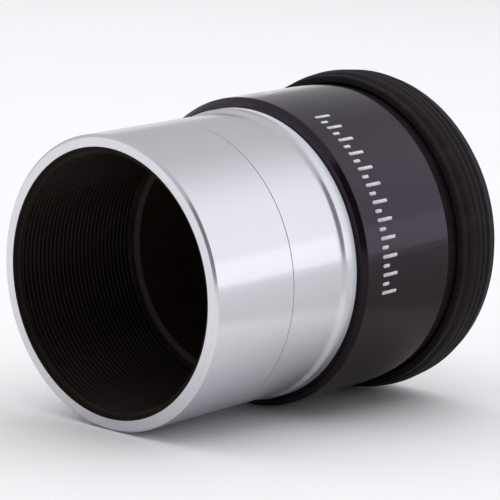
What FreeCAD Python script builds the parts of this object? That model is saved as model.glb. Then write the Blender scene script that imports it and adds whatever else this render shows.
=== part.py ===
"""Telescope eyepiece, 1.25 inch, with a folding rubber eyecup.

The optical axis is +Y: the open nosepiece points to -Y and the eye end to +Y, with +Z up.
The origin is on the axis where the nosepiece barrel ends and its seating cone begins.
Every sketch is drawn from the front rim backwards, and each body's Placement moves it into the part's frame.
Lengths are in millimetres.
"""
import FreeCAD, Part
import math
import os

import Sketcher

# Driving dimensions. Diameters end in _diameter, wall thicknesses in _wall, and the rest are lengths
# along the axis unless their comment says otherwise.
DRIVING = {
    # nosepiece
    "barrel_diameter": 31.75,       # the 1.25 inch standard
    "barrel_length": 19.2,          # front rim to the seating cone
    "front_sleeve_length": 11.66,
    "seam_width": 0.07,             # hairline between the two silver sleeves
    "sleeve_wall": 1.3,
    "rim_chamfer": 0.28,
    "seat_cone_length": 0.74,
    "collar_step": 0.325,           # radial, from the barrel out to the collar
    "collar_length": 2.3,           # cone and collar together
    "collar_edge": 0.12,            # chamfer at the collar's rear edge
    "spigot_relief": 0.275,         # radial, from the barrel in to the spigot that enters the body
    "spigot_length": 5.0,
    # threaded liner
    "liner_setback": 0.05,
    "liner_length": 16.9,           # front rim to the liner's rear end
    "liner_wall": 0.325,            # behind the thread's root
    "thread_pitch": 0.6,
    "thread_depth": 0.325,
    "thread_root_flat": 0.075,
    "thread_mouth_width": 0.45,
    "lead_in_length": 0.5,
    "lead_in_depth": 0.49,          # radial, from the thread's crest out to the mouth of the lead-in
    # field tube and field stop
    "liner_gap": 0.24,
    "field_tube_wall": 1.925,
    "field_tube_nose": 0.86,        # the part of the tube that stands clear of the sleeve
    "field_tube_nose_wall": 0.5,
    "field_tube_nose_flat": 0.05,   # radial, left in front of the bevel
    "field_tube_bevel": 0.4,
    "stop_distance": 5.99,          # field stop to the first lens, set by the focal length
    "field_stop_thickness": 1.2,
    "field_stop_diameter": 14.0,
    "field_stop_lip": 0.25,         # thickness left at the aperture's edge
    # lens cell and lenses
    "cell_front_wall": 2.4,
    "cell_mouth_length": 0.8,       # straight part of the cavity ahead of the lenses
    "cell_step": 1.375,             # radial, from the cell's front part in to its rear part
    "cell_seat_lip": 0.8,
    "cell_seat_edge": 0.2,          # straight part of the lip, before it flares
    "cell_eye_flare": 1.4,          # radial, of the flare round the eye lens
    "lens_diameter": 15.0,
    "lens_rim": 0.7,                # radial width that a ring or a seat covers
    "crown_outer_curve": 14.0,      # radius of the convex faces that look at each other
    "cement_curve": 16.0,           # radius of the cemented faces
    "crown_edge": 0.6,
    "flint_thickness": 1.3,
    "lens_air_gap": 0.4,
    "retainer_thickness": 1.2,
    "retainer_recess": 1.2,         # free thread ahead of the retaining ring
    "retainer_overhang": 0.5,       # radial, of the retaining ring's thread outside the lens
    "spanner_slot_width": 1.2,
    "spanner_slot_depth": 0.6,
    # body
    "body_wall": 1.69,              # radial, outside the spigot
    "body_length": 14.36,
    "body_bevel_setback": 0.05,
    "body_bevel": 0.5,
    "body_rear_edge": 0.15,
    "cap_thread_length": 2.86,
    "cap_thread_relief": 0.2,       # radial, from the spigot in to the eye cap's thread
    "spigot_end_gap": 0.1,
    # eye cap
    "neck_gap": 0.3,                # body to rubber
    "cap_length": 8.44,             # the part behind the body
    "cap_lip_height": 0.8,
    "cap_lip_length": 0.8,
    "cap_face_thickness": 0.9,
    "cap_window_diameter": 20.0,
    "cap_dish_width": 4.2,          # radial, of the dished eye face
    "cap_dish_depth": 0.6,
    "cell_cap_gap": 0.02,           # axial, cell face to cap face
    # eyecup
    "turn_clearance": 0.08,         # radial, rubber on the eye cap
    "cup_wall": 1.45,
    "cup_overhang": 0.3,            # rubber behind the cap's lip
    "cup_round": 0.55,
    "cup_edge": 0.15,
    "fold_gap": 0.3,                # radial, cup wall to the folded skirt
    "skirt_start": 1.5,             # body to the folded skirt's lip
    "skirt_length": 6.5,
    "skirt_wall": 1.15,             # radial, at the valley behind the first rib
    "skirt_taper": 0.1,             # radial, lost from each valley to the next
    "lip_round": 0.5,
    "lip_length": 0.85,
    "lip_drop": 0.23,               # radial, from the first rib's rear valley in to the lip's crest
    "lip_valley": 0.1,              # radial, from the lip's crest in to the valley behind it
    "first_rib_length": 1.3,
    "first_rib_curve": 1.3,         # radius of the broad first rib's arc
    "rib_pitch": 0.98,
    "rib_curve": 0.8,               # radius of each narrow rib's arc
    "tail_length": 0.86,            # plain rubber behind the last rib
    "tail_drop": 0.2,               # radial
    "tail_curve": 1.6,              # radius of the fold behind the tail
}
NARROW_RIBS = 3
SHEET = "Sizes"


class Size:
    """A length that knows its value now and the spreadsheet expression that gives it."""

    def __init__(self, value, text):
        self.value = value
        self.text = text

    @staticmethod
    def of(other):
        """Wrap a plain number; a Size passes through."""
        return other if isinstance(other, Size) else Size(float(other), repr(float(other)))

    def joined(self, other, sign, value):
        return Size(value, f"({self.text} {sign} {other.text})")

    def __add__(self, other):
        other = Size.of(other)
        return self.joined(other, "+", self.value + other.value)

    def __sub__(self, other):
        other = Size.of(other)
        return self.joined(other, "-", self.value - other.value)

    def __mul__(self, other):
        other = Size.of(other)
        return self.joined(other, "*", self.value * other.value)

    def __truediv__(self, other):
        other = Size.of(other)
        return self.joined(other, "/", self.value / other.value)

    def floor(self):
        return Size(math.floor(self.value), f"floor({self.text})")


def sag(curve, radius):
    """Depth of a spherical face of this curve radius, from its vertex to its edge at this radius."""
    depth = curve.value - math.sqrt(curve.value ** 2 - radius.value ** 2)
    text = f"({curve.text} - sqrt({curve.text} ^ 2 - {radius.text} ^ 2))"
    return Size(depth, text)


doc = FreeCAD.newDocument("eyepiece")
sheet = doc.addObject("Spreadsheet::Sheet", SHEET)
for row, (name, number) in enumerate(DRIVING.items(), start=1):
    sheet.set(f"A{row}", name)
    sheet.set(f"B{row}", str(number))
    sheet.setAlias(f"B{row}", name)
doc.recompute()

AXIS = Size.of(0)
RIM = Size.of(0)


def size(name):
    """The driving dimension of this name."""
    return Size(DRIVING[name], f"{SHEET}.{name}")


# Radii, from the barrel inwards and then outwards
barrel_r = size("barrel_diameter") / 2
liner_r = barrel_r - size("sleeve_wall")
thread_root_r = liner_r - size("liner_wall")
thread_crest_r = thread_root_r - size("thread_depth")
field_bore_r = liner_r - size("field_tube_wall")
field_nose_r = field_bore_r + size("field_tube_nose_wall")
collar_r = barrel_r + size("collar_step")
spigot_r = barrel_r - size("spigot_relief")
body_r = spigot_r + size("body_wall")
cap_core_r = spigot_r - size("cap_thread_relief")
cap_lip_r = cap_core_r + size("cap_lip_height")
cell_front_bore_r = liner_r - size("cell_front_wall")
cell_rear_r = liner_r - size("cell_step")
lens_r = size("lens_diameter") / 2
clear_r = lens_r - size("lens_rim")
retainer_r = lens_r + size("retainer_overhang")
cup_bore_r = cap_core_r + size("turn_clearance")
cup_r = cup_bore_r + size("cup_wall")
skirt_bore_r = cup_r + size("fold_gap")
skirt_r = skirt_bore_r + size("skirt_wall")

# Stations along the axis, from the front rim backwards
seam = size("front_sleeve_length")
cone_front = size("barrel_length")
body_front = cone_front + size("collar_length")
spigot_end = body_front + size("spigot_length")
body_rear = body_front + size("body_length")
cap_front = body_rear - size("cap_thread_length")
cap_rear = body_rear + size("cap_length")
field_tube_front = size("liner_length") + size("liner_gap")
cell_rear = cap_rear - size("cap_face_thickness") - size("cell_cap_gap")
lens_seat = cell_rear - size("cell_seat_lip")
crown_bulge = sag(size("crown_outer_curve"), lens_r) + sag(size("cement_curve"), lens_r)
crown_thickness = crown_bulge + size("crown_edge")
eye_cement = lens_seat - size("flint_thickness")
eye_crown_front = eye_cement - crown_thickness
field_crown_rear = eye_crown_front - size("lens_air_gap")
field_cement = field_crown_rear - crown_thickness
field_flint_front = field_cement - size("flint_thickness")
retainer_front = field_flint_front - size("retainer_thickness")
field_tube_rear = field_flint_front - size("stop_distance")
field_stop_rear = field_tube_rear + size("field_stop_thickness")
cup_front = body_rear + size("neck_gap")
cup_rear = cap_rear + size("cup_overhang")
skirt_front = body_rear + size("skirt_start")
skirt_rear = skirt_front + size("skirt_length")


def origin_plane(body, role):
    """One of a body's own origin planes."""
    return next(feature for feature in body.Origin.OriginFeatures if feature.Role == role)


def pin_point(sketch, geometry, end, label, along, radius):
    """Hold one end of a sketch edge at a place given by two expressions."""
    if along is RIM:
        sketch.addConstraint(Sketcher.Constraint("PointOnObject", geometry, end, -2))
    else:
        sketch.addConstraint(Sketcher.Constraint("DistanceX", -1, 1, geometry, end, along.value))
        sketch.renameConstraint(sketch.ConstraintCount - 1, f"along_{label}")
        sketch.setExpression(f"Constraints.along_{label}", along.text)
    if radius is AXIS:
        sketch.addConstraint(Sketcher.Constraint("PointOnObject", geometry, end, -1))
    else:
        sketch.addConstraint(Sketcher.Constraint("DistanceY", -1, 1, geometry, end, radius.value))
        sketch.renameConstraint(sketch.ConstraintCount - 1, f"radius_{label}")
        sketch.setExpression(f"Constraints.radius_{label}", radius.text)


def arc_between(start, end, bend):
    """An arc from start to end, which bulges to the left of that direction for a positive bend radius."""
    chord = end - start
    middle = (start + end) * 0.5
    left = FreeCAD.Vector(-chord.y, chord.x, 0).normalize()
    rise = math.sqrt(max(bend ** 2 - (chord.Length / 2) ** 2, 0))
    centre = middle - left * math.copysign(rise, bend)
    circle = Part.Circle(centre, FreeCAD.Vector(0, 0, 1), abs(bend))
    first, last = (end, start) if bend > 0 else (start, end)
    return Part.ArcOfCircle(circle, circle.parameter(first), circle.parameter(last))


def draw_outline(sketch, points, bends):
    """Draw a closed outline through points given as (along, radius).

    bends gives an arc's signed radius as a (Size, side) pair, by the number of the point that the arc leaves:
    side 1 bulges to the left of the way from that point to the next, and side -1 to the right.
    """
    places = [FreeCAD.Vector(along.value, radius.value, 0) for along, radius in points]
    ends = []
    for number, start in enumerate(places):
        end = places[(number + 1) % len(places)]
        if number in bends:
            curve, side = bends[number]
            geometry = sketch.addGeometry(arc_between(start, end, side * curve.value), False)
            sketch.addConstraint(Sketcher.Constraint("Radius", geometry, curve.value))
            sketch.renameConstraint(sketch.ConstraintCount - 1, f"curve_{number}")
            sketch.setExpression(f"Constraints.curve_{number}", curve.text)
            ends.append((geometry, 2, 1) if side > 0 else (geometry, 1, 2))
        else:
            geometry = sketch.addGeometry(Part.LineSegment(start, end), False)
            ends.append((geometry, 1, 2))
    for number, (geometry, first, last) in enumerate(ends):
        following, next_first, next_last = ends[(number + 1) % len(ends)]
        sketch.addConstraint(Sketcher.Constraint("Coincident", geometry, last, following, next_first))
        pin_point(sketch, geometry, first, str(number), *points[number])


def axial_sketch(body, name, points, bends=None):
    """A sketch in the plane through the optical axis: along runs on its X, and radius on its Y."""
    sketch = body.newObject("Sketcher::SketchObject", name)
    sketch.AttachmentSupport = [(origin_plane(body, "YZ_Plane"), "")]
    sketch.MapMode = "FlatFace"
    draw_outline(sketch, points, bends or {})
    return sketch


def turned_body(label, points, bends=None):
    """A body turned about the optical axis from one closed outline."""
    body = doc.addObject("PartDesign::Body", label)
    body.Label = label
    body.setExpression(".Placement.Base.y", f"-{cone_front.text}")
    sketch = axial_sketch(body, f"{label}_outline", points, bends)
    turning = body.newObject("PartDesign::Revolution", f"{label}_turning")
    turning.Profile = sketch
    turning.ReferenceAxis = (sketch, ["H_Axis"])
    turning.Angle = 360.0
    doc.recompute()
    return body


def spanner_slot(body, station, reach, way):
    """Two notches for a spanner, cut straight across the ring face at this station and as far as this radius.

    way is 1 where the notches run towards the eye end and -1 where they run towards the front rim.
    """
    before = body.Shape.Volume
    sketch = body.newObject("Sketcher::SketchObject", f"{body.Label}_slot_outline")
    sketch.AttachmentSupport = [(origin_plane(body, "XZ_Plane"), "")]
    sketch.MapMode = "FlatFace"
    sketch.setExpression(".AttachmentOffset.Base.z", f"-{station.text}")
    width = size("spanner_slot_width")
    end, half = reach.value, width.value / 2
    corners = [(-end, -half), (end, -half), (end, half), (-end, half)]
    for number, corner in enumerate(corners):
        following = corners[(number + 1) % len(corners)]
        side = Part.LineSegment(FreeCAD.Vector(*corner, 0), FreeCAD.Vector(*following, 0))
        sketch.addGeometry(side, False)
    for number in range(len(corners)):
        sketch.addConstraint(Sketcher.Constraint("Coincident", number, 2, (number + 1) % len(corners), 1))
    for number, direction in enumerate(("Horizontal", "Vertical", "Horizontal", "Vertical")):
        sketch.addConstraint(Sketcher.Constraint(direction, number))
    sketch.addConstraint(Sketcher.Constraint("Symmetric", 0, 1, 2, 1, -1, 1))
    sketch.addConstraint(Sketcher.Constraint("DistanceX", 0, 1, 0, 2, 2 * end))
    sketch.renameConstraint(sketch.ConstraintCount - 1, "span")
    sketch.setExpression("Constraints.span", f"2 * {reach.text}")
    sketch.addConstraint(Sketcher.Constraint("DistanceY", 1, 1, 1, 2, 2 * half))
    sketch.renameConstraint(sketch.ConstraintCount - 1, "width")
    sketch.setExpression("Constraints.width", width.text)
    slot = body.newObject("PartDesign::Pocket", f"{body.Label}_slot")
    slot.Profile = sketch
    slot.Type = "Length"
    slot.Reversed = way < 0
    slot.setExpression("Length", size("spanner_slot_depth").text)
    doc.recompute()
    if body.Shape.Volume >= before:
        raise RuntimeError(f"the spanner slot misses {body.Label}")


def make_front_sleeve():
    """Silver tube from the open rim to the seam, over the liner."""
    chamfer = size("rim_chamfer")
    return turned_body("front_sleeve", [
        (RIM, liner_r),
        (RIM, barrel_r - chamfer),
        (RIM + chamfer, barrel_r),
        (seam, barrel_r),
        (seam, liner_r),
    ])


def make_rear_sleeve():
    """Silver tube from the seam to the collar, with the spigot that screws into the body."""
    start = seam + size("seam_width")
    edge = size("collar_edge")
    return turned_body("rear_sleeve", [
        (start, liner_r),
        (start, barrel_r),
        (cone_front, barrel_r),
        (cone_front + size("seat_cone_length"), collar_r),
        (body_front - edge, collar_r),
        (body_front, collar_r - edge),
        (body_front, spigot_r),
        (spigot_end, spigot_r),
        (spigot_end, liner_r),
    ])


def make_threaded_liner():
    """Black tube inside the sleeves, with the filter thread as rings of the thread's section and pitch."""
    front = size("liner_setback")
    crest_front = front + size("lead_in_length")
    body = turned_body("threaded_liner", [
        (front, thread_crest_r + size("lead_in_depth")),
        (front, liner_r),
        (size("liner_length"), liner_r),
        (size("liner_length"), thread_crest_r),
        (crest_front, thread_crest_r),
    ])
    before = body.Shape.Volume
    first = crest_front + size("thread_pitch") / 2
    mouth = size("thread_mouth_width") / 2
    root = size("thread_root_flat") / 2
    # the cutting section starts a root flat's width inside the crest, so that no skin is left there
    inside = thread_crest_r - size("thread_root_flat")
    widen = size("thread_root_flat") * ((size("thread_mouth_width") - size("thread_root_flat")) / 2
                                        / size("thread_depth"))
    sketch = axial_sketch(body, "thread_section", [
        (first - mouth - widen, inside),
        (first - root, thread_root_r),
        (first + root, thread_root_r),
        (first + mouth + widen, inside),
    ])
    groove = body.newObject("PartDesign::Groove", "thread_groove")
    groove.Profile = sketch
    groove.ReferenceAxis = (sketch, ["H_Axis"])
    groove.Angle = 360.0
    doc.recompute()
    rings = ((size("liner_length") - crest_front) / size("thread_pitch")).floor()
    pattern = body.newObject("PartDesign::LinearPattern", "thread_rings")
    pattern.Originals = [groove]
    pattern.Direction = (sketch, ["H_Axis"])
    pattern.setExpression("Occurrences", rings.text)
    pattern.setExpression("Length", f"({rings.text} - 1) * {size('thread_pitch').text}")
    body.Tip = pattern
    doc.recompute()
    if body.Shape.Volume >= before:
        raise RuntimeError("the thread misses the liner")
    return body


def make_field_tube():
    """Black tube behind the liner, with a bevelled nose that shows inside the barrel."""
    shoulder = field_tube_front + size("field_tube_nose")
    return turned_body("field_tube", [
        (field_tube_front, field_nose_r - size("field_tube_nose_flat")),
        (field_tube_front, field_nose_r),
        (shoulder, field_nose_r),
        (shoulder, liner_r),
        (field_tube_rear, liner_r),
        (field_tube_rear, field_bore_r),
        (field_tube_front + size("field_tube_bevel"), field_bore_r),
    ])


def make_field_stop():
    """Thin black diaphragm at the focal plane, bevelled to a sharp edge round its aperture."""
    aperture = size("field_stop_diameter") / 2
    return turned_body("field_stop_ring", [
        (field_tube_rear, aperture),
        (field_tube_rear, liner_r),
        (field_stop_rear, liner_r),
        (field_stop_rear, aperture + size("field_stop_thickness")),
        (field_tube_rear + size("field_stop_lip"), aperture),
    ])


def make_lens_cell():
    """Black cell that holds both doublets: wide in front, stepped down where it enters the eye cap."""
    bore_front = retainer_front - size("retainer_recess")
    return turned_body("lens_cell", [
        (field_stop_rear, cell_front_bore_r),
        (field_stop_rear, liner_r),
        (cap_front, liner_r),
        (cap_front, cell_rear_r),
        (cell_rear, cell_rear_r),
        (cell_rear, clear_r + size("cell_eye_flare")),
        (lens_seat + size("cell_seat_edge"), clear_r),
        (lens_seat, clear_r),
        (lens_seat, lens_r),
        (field_flint_front, lens_r),
        (field_flint_front, retainer_r),
        (bore_front, retainer_r),
        (field_stop_rear + size("cell_mouth_length"), cell_front_bore_r),
    ])


def make_flint(label, flat, vertex, side):
    """Flint meniscus with a flat outer face; side is 1 where the flat face is the rear one, else -1."""
    depth = sag(size("cement_curve"), lens_r) * side
    return turned_body(label, [
        (flat, AXIS),
        (flat, lens_r),
        (vertex - depth, lens_r),
        (vertex, AXIS),
    ], {2: (size("cement_curve"), side)})


def make_crown(label, cement, outer, side):
    """Biconvex crown between its cemented face and its outer face.

    side is 1 where the cemented face is the rear one and -1 where it is the front one.
    """
    cement_depth = sag(size("cement_curve"), lens_r) * side
    outer_depth = sag(size("crown_outer_curve"), lens_r) * side
    return turned_body(label, [
        (cement, AXIS),
        (cement - cement_depth, lens_r),
        (outer + outer_depth, lens_r),
        (outer, AXIS),
    ], {0: (size("cement_curve"), -side), 2: (size("crown_outer_curve"), -side)})


def make_lens_spacer():
    """Ring between the doublets; its inner edges bear on their convex faces."""
    depth = sag(size("crown_outer_curve"), clear_r)
    return turned_body("lens_spacer", [
        (field_crown_rear - depth, clear_r),
        (field_crown_rear - depth, lens_r),
        (eye_crown_front + depth, lens_r),
        (eye_crown_front + depth, clear_r),
    ])


def make_retainer():
    """Slotted ring that screws in ahead of the lenses and holds the stack."""
    body = turned_body("lens_retaining_ring", [
        (retainer_front, clear_r),
        (retainer_front, retainer_r),
        (field_flint_front, retainer_r),
        (field_flint_front, clear_r),
    ])
    spanner_slot(body, retainer_front, retainer_r + size("spanner_slot_width"), 1)
    return body


def make_body_shell():
    """Gloss black outer body with a bevelled front edge."""
    bevel_front = body_front + size("body_bevel_setback")
    edge = size("body_rear_edge")
    return turned_body("body_shell", [
        (body_front, spigot_r),
        (body_front, body_r - size("body_bevel")),
        (bevel_front, body_r - size("body_bevel")),
        (bevel_front + size("body_bevel"), body_r),
        (body_rear - edge, body_r),
        (body_rear, body_r - edge),
        (body_rear, cap_core_r),
        (cap_front, cap_core_r),
        (cap_front, liner_r),
        (spigot_end + size("spigot_end_gap"), liner_r),
        (spigot_end + size("spigot_end_gap"), spigot_r),
    ])


def make_eye_cap():
    """Black ring that screws into the body, closes the eye end, and holds the rubber behind the body."""
    window = size("cap_window_diameter") / 2
    lip_front = cap_rear - size("cap_lip_length")
    body = turned_body("eye_cap", [
        (cap_front, cell_rear_r),
        (cap_front, cap_core_r),
        (lip_front, cap_core_r),
        (lip_front, cap_lip_r),
        (cap_rear, cap_lip_r),
        (cap_rear, window + size("cap_dish_width")),
        (cap_rear - size("cap_dish_depth"), window),
        (cap_rear - size("cap_face_thickness"), window),
        (cap_rear - size("cap_face_thickness"), cell_rear_r),
    ])
    spanner_slot(body, cap_rear, cap_core_r, -1)
    return body


def make_eyecup_base():
    """Rubber sleeve that turns on the eye cap, with its neck showing behind the body."""
    edge = size("cup_edge")
    pocket_front = cap_rear - size("cap_lip_length") - size("turn_clearance")
    pocket_r = cap_lip_r + size("turn_clearance")
    rounding = size("cup_round")
    return turned_body("eyecup_base", [
        (cup_front, cup_bore_r),
        (cup_front, cup_r - edge),
        (cup_front + edge, cup_r),
        (cup_rear - rounding, cup_r),
        (cup_rear, cup_r - rounding),
        (cup_rear, pocket_r),
        (pocket_front, pocket_r),
        (pocket_front, cup_bore_r),
    ], {3: (rounding, 1)})


def make_eyecup_skirt():
    """Ribbed skirt folded forward over the base: a rounded lip, a broad rib, narrow ribs, and the fold."""
    lip_crest_r = skirt_r - size("lip_drop")
    lip_rear = skirt_front + size("lip_length")
    rib_rear = lip_rear + size("first_rib_length")
    points = [
        (skirt_front, skirt_bore_r),
        (skirt_front, lip_crest_r - size("lip_round")),
        (skirt_front + size("lip_round"), lip_crest_r),
        (lip_rear, lip_crest_r - size("lip_valley")),
        (rib_rear, skirt_r),
    ]
    bends = {1: (size("lip_round"), 1), 3: (size("first_rib_curve"), 1)}
    for rib in range(1, NARROW_RIBS + 1):
        bends[len(points) - 1] = (size("rib_curve"), 1)
        points.append((rib_rear + size("rib_pitch") * rib, skirt_r - size("skirt_taper") * rib))
    tail_front, tail_r = points[-1]
    points.append((tail_front + size("tail_length"), tail_r - size("tail_drop")))
    bends[len(points) - 1] = (size("tail_curve"), 1)
    points.append((skirt_rear, skirt_bore_r))
    return turned_body("eyecup_skirt", points, bends)


def check_and_write(bodies):
    """Stop on any failed object or bad shape, then write one file per body."""
    doc.recompute()
    for thing in doc.Objects:
        if "Invalid" in thing.State or "Error" in thing.State:
            raise RuntimeError(f"{thing.Label} failed: {thing.State}")
    for body in bodies:
        if body.Shape.isNull() or not body.Shape.isValid() or len(body.Shape.Solids) != 1:
            raise RuntimeError(f"{body.Label} isn't one sound solid")
    os.makedirs("parts", exist_ok=True)
    for body in bodies:
        body.Shape.exportStep(f"parts/{body.Label}.step")


check_and_write([
    make_front_sleeve(),
    make_rear_sleeve(),
    make_threaded_liner(),
    make_field_tube(),
    make_field_stop(),
    make_lens_cell(),
    make_retainer(),
    make_flint("field_flint_lens", field_flint_front, field_cement, -1),
    make_crown("field_crown_lens", field_cement, field_crown_rear, -1),
    make_lens_spacer(),
    make_crown("eye_crown_lens", eye_cement, eye_crown_front, 1),
    make_flint("eye_flint_lens", lens_seat, eye_cement, 1),
    make_body_shell(),
    make_eye_cap(),
    make_eyecup_base(),
    make_eyecup_skirt(),
])
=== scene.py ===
"""Looks for a 1.25 inch telescope eyepiece with a folding rubber eyecup.

The optical axis is +Y, the open nosepiece points to -Y and +Z is up. Sizes in the classes are in millimetres.
"""
import logging
import math
from dataclasses import dataclass, field
from enum import Enum
from typing import Sequence

import bpy
from mathutils import Matrix, Vector


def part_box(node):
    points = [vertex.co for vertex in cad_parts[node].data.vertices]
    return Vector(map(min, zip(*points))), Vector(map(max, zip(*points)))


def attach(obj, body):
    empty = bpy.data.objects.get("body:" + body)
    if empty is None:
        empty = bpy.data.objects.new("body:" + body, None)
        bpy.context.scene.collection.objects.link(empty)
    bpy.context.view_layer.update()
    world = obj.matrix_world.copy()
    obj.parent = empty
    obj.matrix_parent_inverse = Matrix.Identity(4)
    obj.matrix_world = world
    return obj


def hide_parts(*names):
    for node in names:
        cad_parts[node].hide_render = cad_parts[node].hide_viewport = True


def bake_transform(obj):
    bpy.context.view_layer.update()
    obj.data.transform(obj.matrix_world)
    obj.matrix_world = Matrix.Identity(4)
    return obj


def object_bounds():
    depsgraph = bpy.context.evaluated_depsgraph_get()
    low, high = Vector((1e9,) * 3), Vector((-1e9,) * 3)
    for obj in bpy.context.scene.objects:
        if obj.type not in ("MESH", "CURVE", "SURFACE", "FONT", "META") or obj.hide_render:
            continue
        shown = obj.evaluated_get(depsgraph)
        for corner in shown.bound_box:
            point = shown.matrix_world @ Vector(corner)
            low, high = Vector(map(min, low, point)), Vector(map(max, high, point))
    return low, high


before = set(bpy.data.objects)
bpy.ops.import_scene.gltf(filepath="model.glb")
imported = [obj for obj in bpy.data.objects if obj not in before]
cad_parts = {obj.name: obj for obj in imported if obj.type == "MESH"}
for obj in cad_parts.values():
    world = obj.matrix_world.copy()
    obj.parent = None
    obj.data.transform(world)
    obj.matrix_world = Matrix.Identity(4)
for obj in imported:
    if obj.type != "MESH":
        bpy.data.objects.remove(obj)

CAD_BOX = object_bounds()
MM = 0.001
LOG = logging.getLogger("eyepiece")

Colour = tuple[float, float, float]
Point = tuple[float, float]


class Turn(Enum):
    """How many flat sides stand for one full turn of a lathe piece."""

    FINE = 288
    MEDIUM = 192


class Signal:
    """One output of a shader node, so that shader maths reads as ordinary arithmetic."""

    def __init__(self, kit: "ShaderKit", socket: bpy.types.NodeSocket) -> None:
        self.kit = kit
        self.socket = socket

    def _math(self, operation: str, *values: "Signal | float") -> "Signal":
        """One Math node."""
        return self.kit.node("ShaderNodeMath", {"operation": operation}, dict(enumerate(values)))

    def __add__(self, other: "Signal | float") -> "Signal":
        """Sum."""
        return self._math("ADD", self, other)

    def __radd__(self, other: float) -> "Signal":
        """Sum with a plain number first."""
        return self._math("ADD", other, self)

    def __sub__(self, other: "Signal | float") -> "Signal":
        """Difference."""
        return self._math("SUBTRACT", self, other)

    def __rsub__(self, other: float) -> "Signal":
        """Difference from a plain number."""
        return self._math("SUBTRACT", other, self)

    def __mul__(self, other: "Signal | float") -> "Signal":
        """Product."""
        return self._math("MULTIPLY", self, other)

    def __rmul__(self, other: float) -> "Signal":
        """Product with a plain number first."""
        return self._math("MULTIPLY", other, self)

    def __pow__(self, other: "Signal | float") -> "Signal":
        """Power."""
        return self._math("POWER", self, other)

    def ramp(self, low: float, high: float) -> "Signal":
        """A smooth rise or fall.

        Args:
            low: The value where the result is 0.
            high: The value where the result is 1; a high under low gives a fall.

        Returns:
            A signal from 0 to 1.
        """
        start, end = min(low, high), max(low, high)
        inputs = {"Value": self, "From Min": start, "From Max": end}
        level = self.kit.node("ShaderNodeMapRange", {"interpolation_type": "SMOOTHSTEP"}, inputs)
        return level if high > low else 1 - level


class ShaderKit:
    """Builds the nodes of one material or world."""

    FACE_STRETCH = 1.37

    def __init__(self, tree: bpy.types.NodeTree) -> None:
        """Start from an empty tree."""
        tree.nodes.clear()
        self.tree = tree

    def node(
        self, kind: str, settings: dict[str, object], inputs: dict[object, object], output: int | str = 0
    ) -> Signal:
        """Add one node.

        Args:
            kind: The node's type.
            settings: Its properties, which are set first.
            inputs: Values or signals for its sockets, by name or number.
            output: The name or number of the socket to return.

        Returns:
            The chosen output.
        """
        made = self.tree.nodes.new(kind)
        for name, value in settings.items():
            setattr(made, name, value)
        for name, value in inputs.items():
            if isinstance(value, Signal):
                self.tree.links.new(value.socket, made.inputs[name])
            else:
                made.inputs[name].default_value = value
        return Signal(self, made.outputs[output] if made.outputs else None)

    def place(self) -> Signal:
        """The point's own coordinates, in metres."""
        return self.node("ShaderNodeTexCoord", {}, {}, "Object")

    def coordinates(self) -> tuple[Signal, Signal, Signal]:
        """The point's own x, y and z, in millimetres."""
        outputs = self.node("ShaderNodeSeparateXYZ", {}, {0: self.place()}).socket.node.outputs
        return tuple(Signal(self, out) * (1 / MM) for out in outputs)

    def radius(self) -> Signal:
        """Distance from the optical axis, in millimetres."""
        across, _, up = self.coordinates()
        return (across * across + up * up) ** 0.5

    def grain(self, size: float, detail: float = 2.0) -> Signal:
        """Even noise around 0.5, whose blotches have a size in millimetres."""
        inputs = {"Vector": self.place(), "Scale": 1 / (size * MM), "Detail": detail}
        return self.node("ShaderNodeTexNoise", {}, inputs)

    def tool_lines(self, pitch: float, detail: float = 2.0) -> Signal:
        """The fine lines that a lathe tool leaves round a turned piece.

        Args:
            pitch: The mean spacing of the lines, in millimetres.
            detail: How much finer noise is laid over them.

        Returns:
            A signal around 0.5 that changes along the axis and across the end faces, and not round them.
        """
        way = self.coordinates()[1] + self.radius() * self.FACE_STRETCH
        inputs = {"W": way, "Scale": 1 / pitch, "Detail": detail}
        return self.node("ShaderNodeTexNoise", {"noise_dimensions": "1D"}, inputs)

    def mixed(self, share: Signal | float, first: Signal | Colour, second: Colour) -> Signal:
        """A colour between two.

        Args:
            share: How much of the second colour shows.
            first: A colour signal, or linear red, green and blue.
            second: Linear red, green and blue.

        Returns:
            The mixed colour.
        """
        start = first if isinstance(first, Signal) else (*first, 1.0)
        inputs = {0: share, 6: start, 7: (*second, 1.0)}
        return self.node("ShaderNodeMix", {"data_type": "RGBA"}, inputs, 2)

    def bump(self, height: Signal, strength: float, depth: float) -> Signal:
        """A normal bumped by a height pattern, where a height of 1 stands for a depth in millimetres."""
        inputs = {"Height": height, "Strength": strength, "Distance": depth * MM}
        return self.node("ShaderNodeBump", {}, inputs)

    def principled(self, values: dict[str, object]) -> Signal:
        """One principled shader."""
        return self.node("ShaderNodeBsdfPrincipled", {}, values)

    def layered(self, share: Signal | float, first: Signal, second: Signal) -> Signal:
        """Two shaders in one surface; the share is how much of the second one shows."""
        return self.node("ShaderNodeMixShader", {}, {0: share, 1: first, 2: second})


@dataclass(frozen=True)
class Finish:
    """A surface finish; each subclass says how its shader is built."""

    name: str

    def dress(self, kit: ShaderKit) -> dict[str, object]:
        """Values and signals for the principled shader's sockets."""
        raise NotImplementedError

    def material(self) -> bpy.types.Material:
        """The finish's material, made once.

        Returns:
            The material.
        """
        known = bpy.data.materials.get(self.name)
        if known is not None:
            return known
        made = bpy.data.materials.new(self.name)
        made.use_nodes = True
        kit = ShaderKit(made.node_tree)
        kit.node("ShaderNodeOutputMaterial", {}, {"Surface": self.surface(kit)})
        return made

    def surface(self, kit: ShaderKit) -> Signal:
        """The whole shader."""
        return kit.principled(self.dress(kit))


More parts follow.
